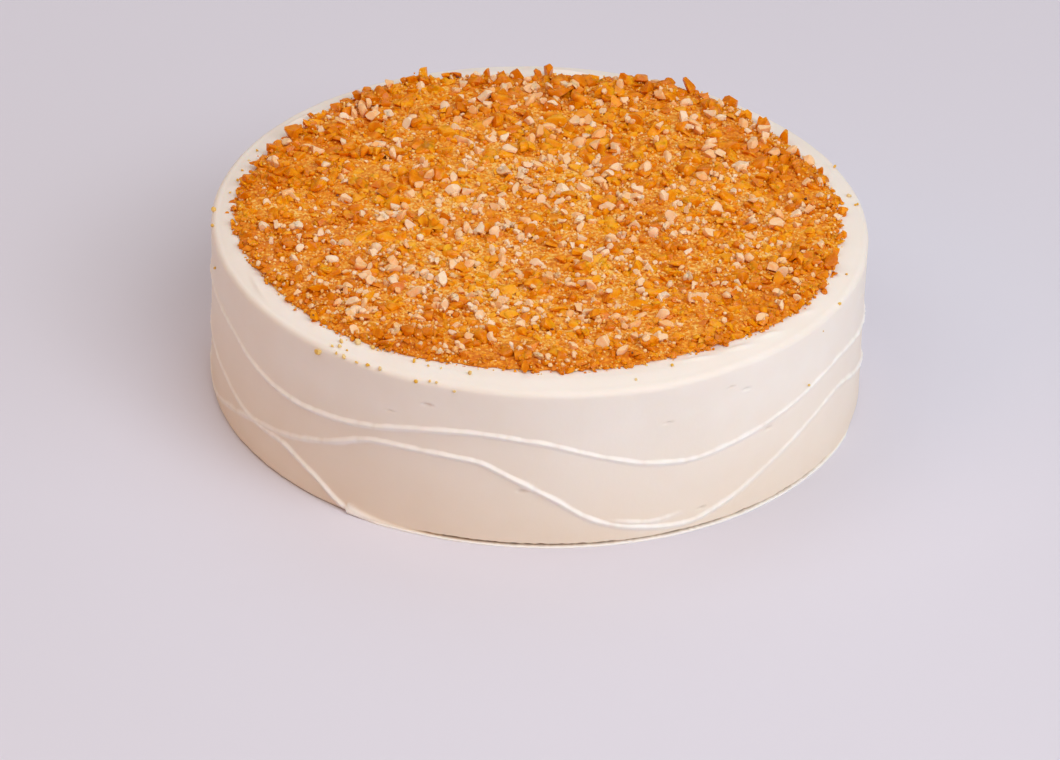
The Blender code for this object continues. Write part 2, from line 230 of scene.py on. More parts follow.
frosting = {
    "radius": 99.95,
    "columns": 600,
    "rows": 118,  # up the side, closest together along the ridges and the foot
    "sideWaves": ((2, 0.35, 40), (3, 0.25, 110), (7, 0.12, 15)),  # count, depth, start
    "belly": 0.5,
    "fall": 0.9,  # the top falls this much towards its rim, over fallWidth
    "fallWidth": 4.5,
    "shoulder": 2.1,
    "shoulderRings": 7,
    "topRings": 30,  # on the top, from the shoulder inwards
    "ringStep": 0.4,
    # soft dents: their scale in m, seed, stretch and depth
    "sideDents": ((0.030, 1, (1, 1, 1.6), 0.16), (0.010, 2, (1, 1, 2.5), 0.05)),
    "topDents": ((0.014, 3, (1, 1, 1), 0.14), (0.005, 4, (1, 1, 1), 0.06)),
    # each turn of a ridge: its angle, its height and, where it isn't 1, its strength
    "upperRidge": ((-83, 38, 0.6), (-67, 36.2, 0.8), (-60, 33, 0.9), (-51, 30.6), (-45, 30.1), (-38, 30.9),
                   (-28.6, 33.2), (-19.4, 36.6), (-9, 38.4), (0.3, 36.9), (12, 31.2, 0.9),
                   (19.3, 27.5, 0.8), (28, 25.6, 0.75), (37, 27, 0.75), (50, 30.8, 0.7), (65, 34.6, 0.7),
                   (80, 30.8), (101, 27), (138, 36), (176, 27.5), (212, 37), (246, 30, 0.8)),
    "lowerRidge": ((-80, 2.6, 0.5), (-66.3, 8.6, 0.5), (-58, 12.6, 0.6), (-47, 16.8, 0.7), (-36, 23.2, 0.9),
                   (-27.9, 28.6), (-19, 29.4), (-10.3, 28.9), (-3.2, 23.8), (3.7, 17.2), (11, 9.1),
                   (18.3, 5.4), (27, 3.6, 0.8), (35, 6.7, 0.6), (45, 13.8, 0.5), (56.5, 20.9, 0.6),
                   (65, 23.6, 0.65), (77, 18.4), (104, 6), (148, 27), (194, 5), (238, 21)),
    "frontCrossing": ((-124, 4, 0.6), (-90, 19.5, 0.7), (-71.6, 16.3, 0.6), (-58, 12.6, 0.7),
                      (-50.5, 13.0, 0.8), (-41.4, 8.5), (-32.5, 1.2, 1.1)),
    "backCrossing": ((158, 22), (180, 18), (222, 1.5)),
    "fork": ((13, 8.2), (21.6, 6.4), (27, 7.6)),
    "crest": 0.68,  # how far a ridge stands out
    "crestAbove": 1.1,  # how far it reaches above its line
    "crestBelow": 1.3,  # and below it
    "ragged": (5, 1.6),  # lengths of the slow and of the quick unevenness of a ridge
    "wander": 0.2,  # how far they move its line
    "torn": (0.3, 0.55),  # how much each of them changes how far it stands out
    # beyond a ridge the cream swells a little above it and is hollow below it: how far, and over what length
    "swell": (0.10, 4),
    "hollow": (0.08, 2.2),
    "denser": (7, 5, 3),  # how much closer the rows lie by the foot, by a ridge and by a pit
    "pits": ((-25, 40.4), (-18.3, 45.6), (23.3, 40.3), (-1.6, 19.8), (38.7, 44.2), (35.4, 46.9),
             (44.5, 26.5), (30.5, 7.2), (97, 41), (133, 20), (171, 43), (209, 17), (236, 42)),
    "pitSize": (0.9, 0.5, 0.8),  # half width, half height, depth
    "pitShade": 0.2,
    "lips": ((-31, 76), (128, 214)),  # where the foot has a lip, from and to
    "lipTop": 0.55,
    "lipFade": 4,  # degrees over which a lip thins out at its ends
    "lipOut": 0.35,
    "gapInset": (10, 8),  # degrees from a lip's end to where its gap starts, and over which the gap opens
    "gap": (0.42, 0.28, 2.4),  # its height over the lip, its half height and its depth
    "tuck": 0.8,  # how far the foot tucks in elsewhere
    "tail": 1.1,  # how far the front crossing's end is squeezed out
    "tailStart": -33.6,
    "tailTop": (0.75, 3.0, 4.2),  # its least height, how much higher it starts, and the degrees it falls over
    "nibs": ((78, 44, 0.9), (151, 33, 0.7)),  # specks of cream that stick out: angle, height and how far
    # folds that the knife left on the top, by the crumbs: angle, distance out, half length and height
    "folds": ((31, 92.8, 5, 0.75), (40, 94.2, 4, 0.7), (47.5, 94.6, 3.5, 0.8), (58, 95.2, 3, 0.6),
              (-62, 95.3, 6, 0.4), (112, 96.0, 5, 0.6), (176, 95.0, 7, 0.5), (-128, 96.0, 6, 0.5)),
}


def degreeLength():
    return frosting["radius"] * math.pi / 180


def smoothLine(turns, angle, closed):
    # the smooth line through a ridge's turns: its height, slope per degree, strength and distance to its ends
    knots = list(turns)
    if closed:
        knots.append((turns[0][0] + 360, *turns[0][1:]))
    start = knots[0][0]
    along = (angle - start) % 360 + start
    places = np.array([knot[0] for knot in knots])
    heights = np.array([knot[1] for knot in knots])
    strengths = np.array([knot[2] if len(knot) > 2 else 1.0 for knot in knots])
    steps = np.diff(heights) / np.diff(places)
    slopes = np.zeros(len(knots))
    before, after = steps[:-1], steps[1:]
    agree = before * after > 0
    slopes[1:-1][agree] = (2 * before * after)[agree] / (before + after)[agree]
    i = np.clip(np.searchsorted(places, along, side="right") - 1, 0, len(knots) - 2)
    wide = places[i + 1] - places[i]
    t = np.clip((along - places[i]) / wide, 0, 1)
    away = 1 - t
    height = ((heights[i] * (1 + 2 * t) + slopes[i] * wide * t) * away**2
              + (heights[i + 1] * (3 - 2 * t) - slopes[i + 1] * wide * away) * t**2)
    slope = steps[i] * 6 * t * away + slopes[i] * away * (away - 2 * t) + slopes[i + 1] * t * (t - 2 * away)
    # beyond the ends of an open ridge, the nearer end counts
    middle = (places[0] + places[-1]) / 2
    along = np.where(along > middle + 180, along - 360, along)
    inside = np.full(len(along), 99.0) if closed else np.minimum(along - start, places[-1] - along)
    height = np.where(inside < 0, np.where(along < middle, heights[0], heights[-1]), height)
    return height, slope, np.interp(along, places, strengths), inside


def ringNoise(angle, scale, seed):
    # smooth noise round the cake, about -1 to 1, with features about scale mm long
    reach = frosting["radius"] / scale
    return np.array([noise.noise(Vector((math.cos(turn) * reach, math.sin(turn) * reach, seed)))
                     for turn in np.radians(angle)])


def ridgeTrack(turns, angle, seed, closed=False, strength=1.0, taper=10, smeared=False):
    # one ridge by columns: the height of its line, how it tilts, how far it stands out and how wide it is
    look = frosting
    line, slope, grow, inside = smoothLine(turns, angle, closed)
    slow, quick = look["ragged"]
    path, torn = ringNoise(angle, slow, seed), ringNoise(angle, quick, seed + 5)
    bySlow, byQuick = look["torn"]
    fade = np.clip(inside / taper, 0, 1)
    if smeared:  # such a ridge ends abruptly
        fade = np.where(inside > 0, np.clip(((angle - turns[0][0]) % 360) / taper, 0, 1), 0)
    return {
        "line": line + look["wander"] * path + look["wander"] * torn,
        "tilt": 1 / np.sqrt(1 + (slope / degreeLength()) ** 2),
        "rise": look["crest"] * strength * grow * fade * (1 + bySlow * path + byQuick * torn),
        "wide": 0.75 + 0.25 * grow + 0.2 * path,
        "here": np.clip(1 + inside / 5, 0, 1),
    }


def ridgeRelief(track, column, height):
    # how far a ridge lifts the surface: a round bead, flatter above its line and sharper below it
    look = frosting
    off = (height - track["line"][column]) * track["tilt"][column]
    rise = track["rise"][column]
    wide = np.where(off > 0, look["crestAbove"], look["crestBelow"]) * track["wide"][column]
    share = np.clip(np.abs(off / wide), 0, 1)
    crest = rise * np.where(off > 0, 1 - share**1.35, (1 - share**1.6) ** 1.3)
    # painted highlight along the ridge's bead, as strong as the ridge stands out
    paintedHighlight = np.clip(rise / look["crest"], 0, 1) * np.exp(-((off / wide) ** 4))
    below = 0.5 - 0.5 * np.tanh(off / 0.4)
    lift, far = look["swell"]
    sink, near = look["hollow"]
    away = np.abs(off)
    swell = rise * (lift * np.exp(-away / far) * (1 - below) - sink * np.exp(-away / near) * below)
    return crest, swell, paintedHighlight


def footRelief(angle, column, columnAngle, height):
    # a thin lip of cream lies on the floor under a ragged gap, and where there is none the foot tucks in
    look = frosting
    inset, opening = look["gapInset"]
    over, half, deep = look["gap"]
    wobble, torn = ringNoise(columnAngle, 6, 9)[column], ringNoise(columnAngle, 1.4, 10)[column]
    lipped, gapped = np.zeros_like(angle), np.zeros_like(angle)
    for start, end in look["lips"]:
        along = (angle - start) % 360
        inside = np.minimum(along, end - start - along)
        lipped = np.maximum(lipped, np.clip(inside / look["lipFade"], 0, 1))
        gapped = np.maximum(gapped, np.clip((inside - inset) / opening, 0, 1))
    level = look["lipTop"] + over + 0.14 * wobble + 0.2 * torn
    cleft = gapped * np.exp(-np.abs((height - level) / (half + 0.1 * torn)) ** 2.4)
    nick = -deep * cleft * np.clip(1 + 0.8 * wobble, 0.25, 1.3)
    # painted shade in the gap over the lip, ragged and broken along it
    gapShade = cleft * np.clip(0.6 + 1.7 * torn + 0.9 * wobble, 0, 1)
    lip = np.clip((look["lipTop"] + 0.15 - height) / 0.15, 0, 1)
    tuck = -look["tuck"] * np.clip(1 - height / (1.1 + 0.5 * wobble), 0, 1) ** 1.5
    return lipped * (nick + look["lipOut"] * lip) + (1 - lipped) * tuck, lipped * lip, gapShade


def tailShare(angle, height):
    # where the front crossing runs out, its cream is pushed down into a flat tail that thins along the foot
    along = angle - frosting["tailStart"]
    least, higher, fall = frosting["tailTop"]
    spread = np.clip(along / 0.6, 0, 1) * np.exp(-np.clip(along - 3, 0, None) / 5.5)
    top = least + higher * np.exp(-np.clip(along, 0, None) / fall)
    return spread / (1 + np.exp(np.clip((height - top) / 0.16, -30, 30)))


def rowHeights(tracks, columnAngle, sideTop):
    # the heights of the rows up each column, denser by the foot, along the ridges and by the pits
    look = frosting
    fine = np.linspace(0, sideTop, 1000)
    shares = np.linspace(0, 1, look["rows"] + 1)
    byFoot, byRidge, byPit = look["denser"]
    table = np.empty((look["columns"], look["rows"] + 1))
    for column in range(look["columns"]):
        dense = 1 + byFoot * np.exp(-(((fine - 0.9) / 1.1) ** 2))
        for track in tracks:
            above = (fine - track["line"][column] - 0.3) / 1.3
            dense += byRidge * track["here"][column] * np.exp(-(above**2))
        for at, level in look["pits"]:
            away = angleFrom(columnAngle[column], at) * degreeLength()
            dense += byPit * math.exp(-((away / 4) ** 2)) * np.exp(-(((fine - level) / 1.2) ** 2))
        reach = np.cumsum(dense)
        table[column] = np.interp(shares, (reach - reach[0]) / (reach[-1] - reach[0]), fine)
    return table


def topDrop(out):
    # how far the spread top lies under its middle, towards its rim
    look = frosting
    share = np.clip((out - (look["radius"] - look["shoulder"] - look["fallWidth"])) / look["fallWidth"], 0, 1)
    return look["fall"] * share**1.4


def frostingMesh():
    look = frosting
    radius, shoulder = look["radius"], look["shoulder"]
    sideTop = creamTop / mm - look["fall"] - shoulder
    profile = [(0, 0), (radius - 1.2, 0)]
    profile += [(radius, sideTop * i / look["rows"]) for i in range(look["rows"] + 1)]
    centre = radius - shoulder
    for i in range(1, look["shoulderRings"] + 1):
        turn = math.pi / 2 * i / look["shoulderRings"]
        profile.append((centre + shoulder * math.cos(turn), sideTop + shoulder * math.sin(turn)))
    profile += [(centre - look["ringStep"] * i, sideTop + shoulder) for i in range(1, look["topRings"] + 1)]
    profile += [(70, sideTop + shoulder), (35, sideTop + shoulder), (0, sideTop + shoulder)]
    bm = bmesh.new()
    verts = [bm.verts.new((0, -r * mm, z * mm)) for r, z in profile]
    edges = [bm.edges.new(pair) for pair in zip(verts, verts[1:])]
    bmesh.ops.spin(bm, geom=verts + edges, cent=(0, 0, 0), axis=(0, 0, 1), angle=math.tau,
                   steps=look["columns"], use_merge=True, use_duplicate=False)
    bmesh.ops.remove_doubles(bm, verts=bm.verts, dist=0.00001)
    bmesh.ops.recalc_face_normals(bm, faces=bm.faces)
    return meshOf(bm, "frosting")


def shapeFrosting(mesh):
    look = frosting
    columns, rows, shoulder = look["columns"], look["rows"], look["shoulder"]
    coords = coordsOf(mesh)
    angle = np.degrees(np.arctan2(coords[:, 0], -coords[:, 1]))
    column = np.round(angle * columns / 360).astype(int) % columns
    columnAngle = (np.arange(columns) * 360 / columns + 180) % 360 - 180
    out = np.hypot(coords[:, 0], coords[:, 1]) / mm
    height = coords[:, 2] / mm
    top = creamTop / mm
    sideTop = top - look["fall"] - shoulder
    tracks = [
        ridgeTrack(look["upperRidge"], columnAngle, 1, closed=True),
        ridgeTrack(look["lowerRidge"], columnAngle, 2, closed=True),
        ridgeTrack(look["frontCrossing"], columnAngle, 3, smeared=True),
        ridgeTrack(look["backCrossing"], columnAngle, 4, smeared=True),
        ridgeTrack(look["fork"], columnAngle, 5, strength=0.6, taper=4),
    ]
    onSide = (out > look["radius"] - 0.01) & (height < sideTop + 0.01)
    row = np.round(height / sideTop * rows).astype(int).clip(0, rows)
    height = np.where(onSide, rowHeights(tracks, columnAngle, sideTop)[column, row], height)
    rise = np.clip(height / top, 0, 1)
    side = np.clip((out - (look["radius"] - shoulder)) / shoulder, 0, 1)
    base = wavesAt(angle, look["sideWaves"]) * (0.4 + 0.6 * rise) + look["belly"] * (rise**3 - 0.3)
    reliefs = [ridgeRelief(track, column, height) for track in tracks]
    crest, _, paintedHighlight = np.max(reliefs, axis=0)
    relief = base + crest + np.sum([part[1] for part in reliefs], axis=0)
    relief += dentsAt(coords, look["sideDents"])
    foot, lip, gap = footRelief(angle, column, columnAngle, height)
    tail = tailShare(angle, height)
    # the tail flares out towards the floor
    relief += foot + look["tail"] * tail * (1.15 - 0.75 * np.clip(height / 3.7, 0, 1))
    # the foot's lip and the tail get the same painted highlight as the ridges
    paintedHighlight = np.max([paintedHighlight, lip, tail], axis=0)
    halfWide, halfHigh, deep = look["pitSize"]
    for n, (at, level) in enumerate(look["pits"]):
        grow = 0.75 + 0.5 * ((n * 0.618) % 1)  # no two pits alike
        away = angleFrom(angle, at) * degreeLength() / (halfWide * grow)
        apart = away**2 + ((height - level) / (halfHigh * grow)) ** 2
        relief += deep * grow * (0.1 * np.exp(-apart / 4) - np.exp(-apart))
        # the pits are painted darker too: painted shade
        gap = np.maximum(gap, look["pitShade"] * grow * np.exp(-apart))
    for at, level, tall in look["nibs"]:
        away = angleFrom(angle, at) * degreeLength()
        relief += tall * np.exp(-((away / 1.1) ** 2) - ((height - level) / 0.6) ** 2)
    radial = out + relief * side
    # the top is spread by hand too: it falls to its rim, with soft dents, strokes and folds
    above = np.clip((height - sideTop) / shoulder, 0, 1)
    lift = (look["fall"] - topDrop(out)) * (out < look["radius"] - shoulder + 0.01) * (height > sideTop)
    flat = np.clip((out - 78) / 8, 0, 1) * above
    place = np.c_[coords[:, :2], coords[:, 2] * 0]
    lift += flat * (dentsAt(place, look["topDents"]) - 0.1)
    for at, reach, half, tall in look["folds"]:
        away = angleFrom(angle, at) * degreeLength() / half
        bend = out - reach - 0.8 * away
        lift += flat * tall * np.exp(-(away**2)) * np.exp(-((bend / np.where(bend > 0, 0.6, 1.2)) ** 2))
    rim = ringNoise(columnAngle, 14, 20)[column] * 0.22 + ringNoise(columnAngle, 4, 21)[column] * 0.08
    radial += rim * side * np.clip((height - sideTop + 5) / 5, 0, 1)
    turn = np.radians(angle)
    coords[:, 0] = radial * np.sin(turn) * mm
    coords[:, 1] = -radial * np.cos(turn) * mm
    coords[:, 2] = np.maximum(height + lift, 0) * mm
    setCoords(mesh, coords)
    # painted highlight and painted shade go to the cream's colour as the crest and gap attributes
    for name, values in (("crest", paintedHighlight * (1 - gap)), ("gap", gap)):
        layer = mesh.attributes.new(name, "FLOAT", "POINT")
        layer.data.foreach_set("value", (values * onSide).astype(np.float32))


def makeFrosting():
    mesh = frostingMesh()
    shapeFrosting(mesh)
    mesh.shade_smooth()
    piece = addPiece("frosting", mesh, creamMaterial())
    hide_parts("frosted_cake")
    print("frosting:", len(mesh.polygons), "faces")


bed = {
    "radius": 92.6,  # of the crumbs' mean outline
    "ragged": 0.9,
    "grain": (550, 0.55),  # grains to the metre, and their height
    "lumps": (0.006, 7, 0.25),  # scale in m, seed and height
    "waves": ((1, 0.3, -149), (2, 1.2, -78), (4, 0.8, -37), (5, 0.9, -2), (6, 0.9, -28), (7, 0.8, 4),
              (8, 0.4, 16)),
    "inset": 1.5,  # the bed's own rim stays this far inside
    # the crumbs' outline: how far beyond the bed's, and its scallops with their length and depth
    "beyond": 0.25,
    "scallops": ((5.5, 1.5), (2.0, 0.9)),
    # the caramel's slow shifts of tint, each with length and strength, and how much darker it is by the rim:
    # from which distance out, over what width and how much
    "warmth": ((24, 0.34), (8, 0.2)),
    "darker": (50, 40, 0.2),
    "depth": 1.5,
    "rim": 0.2,  # its depth at the rim, as a share
    "slope": 4.0,  # from the rim to the full depth
    "skirt": 1.0,  # the rim is closed this far below
    "rings": 100,
    "steps": 400,
    "look": {
        "colours": [(0.0, (0.67, 0.18, 0.004)), (0.35, (0.82, 0.28, 0.010)), (0.65, (0.90, 0.41, 0.038)),
                    (1.0, (0.96, 0.62, 0.18))],
        "sheen": (0.4, 0.6), "glow": 0.3, "glowDepth": 0.0006, "glowColour": (1.0, 0.8, 0.6), "shine": 0.2,
        "coat": 0.0, "cloud": 900, "drift": 0.6, "pores": 1500,
    },
}


def bedRadius(angle):
    return bed["radius"] + wavesAt(angle, bed["waves"])


def crumbReach(angle):
    # how far out the crumbs lie: the slow outline, and ragged scallops
    turn = math.radians(angle)
    ring = Vector((math.cos(turn), math.sin(turn), 0)) * bed["radius"]
    scallops = sum(deep * noise.noise(ring / length + Vector((9 * n, 0, 0)))
                   for n, (length, deep) in enumerate(bed["scallops"]))
    return float(bedRadius(angle)) + bed["beyond"] + scallops


def bedTop(angle, out):
    # height of the bed over the cream: full inside, thin at its rim, and the falling cream beyond
    inward = (bedRadius(angle) - bed["inset"] - out) / bed["slope"]
    full = bed["depth"] * (bed["rim"] + (1 - bed["rim"]) * np.clip(inward, 0, 1))
    return np.where(inward > 0, full, -topDrop(out))


def warmth(x, y):
    # the caramel is darker in one place and more golden in another
    place = Vector((x, y, 3.3))
    start, wide, less = bed["darker"]
    outer = min(max((math.hypot(x, y) - start) / wide, 0), 1)
    return sum(deep * noise.noise(place / length) for length, deep in bed["warmth"]) - less * outer


def makeBed():
    look = bed
    bm = bmesh.new()
    reach = look["radius"] * mm
    verts = [bm.verts.new((0, -reach * i / look["rings"], 0)) for i in range(look["rings"] + 1)]
    verts.append(bm.verts.new((0, -reach, -look["skirt"] * mm)))
    edges = [bm.edges.new(pair) for pair in zip(verts, verts[1:])]
    bmesh.ops.spin(bm, geom=verts + edges, cent=(0, 0, 0), axis=(0, 0, 1), angle=math.tau,
                   steps=look["steps"], use_merge=True, use_duplicate=False)
    bmesh.ops.remove_doubles(bm, verts=bm.verts, dist=0.00001)
    bmesh.ops.contextual_create(bm, geom=[edge for edge in bm.edges if edge.is_boundary])
    bmesh.ops.recalc_face_normals(bm, faces=bm.faces)
    mesh = meshOf(bm, "praline_bed")
    coords = coordsOf(mesh)
    angle = np.degrees(np.arctan2(coords[:, 0], -coords[:, 1]))
    share = np.hypot(coords[:, 0], coords[:, 1]) / reach
    below = coords[:, 2] < -0.5 * look["skirt"] * mm
    inner = bedRadius(angle) - look["inset"] - 0.2
    ragged = fieldAt(coords * share[:, None] ** 4, 0.004, 12) * look["ragged"]
    out = share * (inner + ragged)
    turn = np.radians(angle)
    coords[:, 0] = out * np.sin(turn) * mm
    coords[:, 1] = -out * np.cos(turn) * mm
    fineness, tall = look["grain"]
    scale, seed, high = look["lumps"]
    grains = np.array([noise.voronoi(Vector((c[0], c[1], 0)) * fineness)[0][0] for c in coords])
    bumps = tall * (0.6 - np.clip(grains, 0, 1)) + high * fieldAt(coords, scale, seed)
    level = np.maximum(bedTop(angle, share * inner), 0)
    coords[:, 2] = creamTop + np.where(below, 0.02, level + bumps * np.clip((1 - share) * 40, 0, 1)) * mm
    setCoords(mesh, coords)
    tints = 0.5 + 0.4 * fieldAt(coords, 0.002, 8) + [warmth(c[0] / mm, c[1] / mm) for c in coords]
    tint = mesh.attributes.new("tint", "FLOAT", "POINT")
    tint.data.foreach_set("value", np.clip(tints, 0, 1).astype(np.float32))
    mesh.shade_smooth()
    piece = addPiece("praline_bed", mesh, crumbMaterial("praline_dust", look["look"]))
    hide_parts("praline_topping")
    print("praline bed:", len(mesh.polygons), "faces")


# the crumbs' running height map: its cells, how far out it goes, and how domed a crumb counts
pile = {"cell": 0.5, "reach": 102, "dome": 0.9}


def pileCell(x, y):
    return int((x + pile["reach"]) / pile["cell"]), int((y + pile["reach"]) / pile["cell"])


def startPile():
    side = int(2 * pile["reach"] / pile["cell"])
    axis = (np.arange(side) + 0.5) * pile["cell"] - pile["reach"]
    x, y = np.meshgrid(axis, axis, indexing="ij")
    pile["x"], pile["y"] = x, y
    pile["height"] = bedTop(np.degrees(np.arctan2(x, -y)), np.hypot(x, y))


def settle(x, y, half, thick, sunk):
    # lays one crumb on what is under it, raises the height map there, and gives the crumb's middle height
    span = max(1, int(round(half / pile["cell"])))
    i, j = pileCell(x, y)
    window = (slice(i - span, i + span + 1), slice(j - span, j + span + 1))
    away = np.hypot(pile["x"][window] - x, pile["y"][window] - y) / half
    under = pile["height"][window]
    lying = under[away < 1].mean() if (away < 1).any() else under.mean()
    middle = lying + thick * (0.5 - sunk)
    dome = middle + thick * 0.5 * np.sqrt(np.clip(1 - away**2, 0, 1)) * pile["dome"]
    pile["height"][window] = np.where(away < 1, np.maximum(under, dome), under)
    return middle


def shardShape(kind, draw):
    # one broken crumb about 1 across: a ball with chips cut off it
    bm = bmesh.new()
    bmesh.ops.create_icosphere(bm, subdivisions=kind["detail"], radius=0.5)
    for vert in bm.verts:
        vert.co *= 1 + draw.uniform(-kind["rough"], kind["rough"])
    for _ in range(kind["cuts"]):
        facing = Vector((draw.gauss(0, 1), draw.gauss(0, 1), draw.gauss(0, 1))).normalized()
        geom = bm.verts[:] + bm.edges[:] + bm.faces[:]
        cut = bmesh.ops.bisect_plane(bm, geom=geom, plane_co=facing * draw.uniform(*kind["chip"]),
                                     plane_no=facing, clear_outer=True)["geom_cut"]
        bmesh.ops.contextual_create(bm, geom=[part for part in cut if isinstance(part, bmesh.types.BMEdge)])
    bmesh.ops.dissolve_limit(bm, angle_limit=math.radians(6), verts=bm.verts, edges=bm.edges)
    bmesh.ops.triangulate(bm, faces=bm.faces)
    bmesh.ops.recalc_face_normals(bm, faces=bm.faces)
    return meshOf(bm, "crumb_shape")


def crumbCopy(kind, draw, shapes, size):
    # one crumb, turned and leaning at random and middled on the origin, with half its width and its height
    wide, flat, lean = draw.uniform(*kind["wide"]), draw.uniform(*kind["flat"]), kind["lean"]
    shape = draw.choice(shapes).copy()
    turn = Euler((draw.gauss(0, lean), draw.gauss(0, lean), draw.uniform(0, math.tau))).to_matrix().to_4x4()
    shape.transform(turn @ Matrix.Diagonal((size * mm, size * wide * mm, size * flat * mm, 1)))
    coords = coordsOf(shape)
    low, high = coords.min(axis=0), coords.max(axis=0)
    shape.transform(Matrix.Translation(-Vector((low + high) / 2)))
    spanX, spanY, thick = (high - low) / mm
    return shape, (spanX + spanY) / 4, thick


def joinCrumbs(name, kind, crumbs):
    # crumbs are pairs of a mesh in its place and its tint
    bm = bmesh.new()
    tints = []
    for shape, tint in crumbs:
        bm.from_mesh(shape)
        tints += [min(max(tint, 0), 1)] * len(shape.vertices)
        bpy.data.meshes.remove(shape)
    mesh = meshOf(bm, name)
    tint = mesh.attributes.new("tint", "FLOAT", "POINT")
    tint.data.foreach_set("value", np.array(tints, np.float32))
    if kind["smooth"]:
        mesh.shade_smooth()
        mesh.set_sharp_from_angle(angle=math.radians(kind["smooth"]))
    addPiece(name, mesh, crumbMaterial(name, kind["look"]))
    print(name, len(crumbs), "crumbs,", len(mesh.polygons), "faces")


scatter = {
    "nutClouds": (13, 0.8),  # where nuts lie densely at random: length and strength
    "nutRim": (60, 30, 0.22),  # nuts get fewer from this distance out, over this width, by this much
    # larger patches of nuts: the centre, the width, and how much denser they lie
    "nutPatches": ((-46, -52, 26, 0.5), (-14, -58, 12, 0.3), (-20, -8, 15, 0.3), (22, 0, 12, 0.2),
                   (64, 4, 12, 0.3), (12, 20, 14, 0.2), (-66, 20, 28, -0.4), (64, -62, 16, -0.6),
                   (-4, -26, 12, 0.1)),
    "rollReach": 86,  # fine crumbs roll down inside this radius
    "rolls": 5,  # places that they try
    "rim": (0.05, 1.5, 0.25),  # its share of the radius, how crowded its edge is, and how much finer it is
}


def nuttiness(x, y):
    # where nuts lie densely, above 0, or sparsely
    length, strength = scatter["nutClouds"]
    start, wide, less = scatter["nutRim"]
    outer = min(max((math.hypot(x, y) - start) / wide, 0), 1)
    share = strength * noise.noise(Vector((x, y, 1.5)) / length) - less * outer
    for px, py, width, rise in scatter["nutPatches"]:
        share += rise * math.exp(-((x - px) ** 2 + (y - py) ** 2) / width**2)
    return share


def rollDown(draw, x, y, roll):
    # a fine crumb rolls into the lowest place near it
    if not roll or math.hypot(x, y) > scatter["rollReach"]:
        return x, y
    spots = [(x, y)] + [(x + draw.gauss(0, roll), y + draw.gauss(0, roll)) for _ in range(scatter["rolls"])]
    return min(spots, key=lambda spot: pile["height"][pileCell(*spot)])


def makeCrumbs(name, kind):
    draw = random.Random(kind["seed"])
    shapes = [shardShape(kind, draw) for _ in range(kind["shapes"])]
    small, large = kind["size"]
    rim, curve, less = scatter["rim"]
    spots = []
    while len(spots) < kind["count"]:
        size = small + (large - small) * draw.random() ** kind["favour"]
        angle = draw.uniform(-180, 180)
        reach = crumbReach(angle) - kind["margin"] * size
        share = math.sqrt(draw.random()) if draw.random() > kind["edge"] else 1 - rim * draw.random() ** curve
        size *= 1 - less * (share > 1 - rim)
        x, y, _ = polar(angle, share * reach, 0)
        size *= 1 + kind["coarser"] * min(max(y / 60, 0), 1)
        if draw.random() < 0.5 + kind["gather"] * nuttiness(x, y):
            spots.append((*rollDown(draw, x, y, kind["roll"]), size))
    for angle, out, size in kind["marks"]:
        spots.append((*polar(angle, out, 0).xy, size * kind["scale"]))
    crumbs = []
    for x, y, size in spots:
        shape, half, thick = crumbCopy(kind, draw, shapes, size)
        middle = settle(x, y, half, thick, kind["sunk"] * draw.uniform(0.6, 1.4))
        middle = min(middle, crumbsTop / mm - creamTop / mm - thick / 2 - 0.05)
        shape.transform(Matrix.Translation(Vector((x, y, middle + creamTop / mm)) * mm))
        crumbs.append((shape, draw.gauss(*kind["tint"]) + warmth(x, y) * kind["warmth"]))
    joinCrumbs(name, kind, crumbs)
    for shape in shapes:
        bpy.data.meshes.remove(shape)


caramelLook = {
    "colours": [(0.0, (0.71, 0.197, 0.001)), (0.3, (0.82, 0.274, 0.001)), (0.65, (0.89, 0.358, 0.004)),
                (1.0, (0.93, 0.43, 0.016))],
    "sheen": (0.15, 0.4), "glow": 0.5, "glowDepth": 0.0009, "glowColour": (1.0, 0.9, 0.8), "shine": 0.2,
    "coat": 0.05, "cloud": 380, "drift": 0.4, "pores": 900,
}
nutLook = {
    "colours": [(0.0, (0.96, 0.48, 0.17)), (0.4, (0.98, 0.60, 0.32)), (1.0, (0.99, 0.75, 0.54))],
    "sheen": (0.4, 0.6), "glow": 0.6, "glowDepth": 0.0013, "glowColour": (1.0, 0.85, 0.7), "shine": 0.3,
    "coat": 0.0, "cloud": 700, "drift": 0.2, "pores": 1600,
}
goldLook = {
    "colours": [(0.0, (0.76, 0.25, 0.004)), (0.5, (0.87, 0.41, 0.035)), (1.0, (0.96, 0.65, 0.20))],
    "sheen": (0.3, 0.55), "glow": 0.4, "glowDepth": 0.0004, "glowColour": (1.0, 0.8, 0.6), "shine": 0.25,
    "coat": 0.0, "cloud": 900, "drift": 0.15, "pores": 2000,
}
paleLook = {
    "colours": [(0.0, (0.82, 0.38, 0.055)), (0.5, (0.93, 0.56, 0.17)), (1.0, (0.97, 0.71, 0.37))],
    "sheen": (0.4, 0.6), "glow": 0.3, "glowDepth": 0.0004, "glowColour": (1.0, 0.9, 0.8), "shine": 0.2,
    "coat": 0.0, "cloud": 900, "drift": 0.15, "pores": 2000,
}
burntLook = {
    "colours": [(0.0, (0.10, 0.022, 0.004)), (1.0, (0.34, 0.09, 0.012))],
    "sheen": (0.2, 0.5), "glow": 0.0, "glowDepth": 0.001, "glowColour": (1.0, 0.4, 0.1), "shine": 0.4,
    "coat": 0.1, "cloud": 900, "drift": 0.2, "pores": 2000,
}
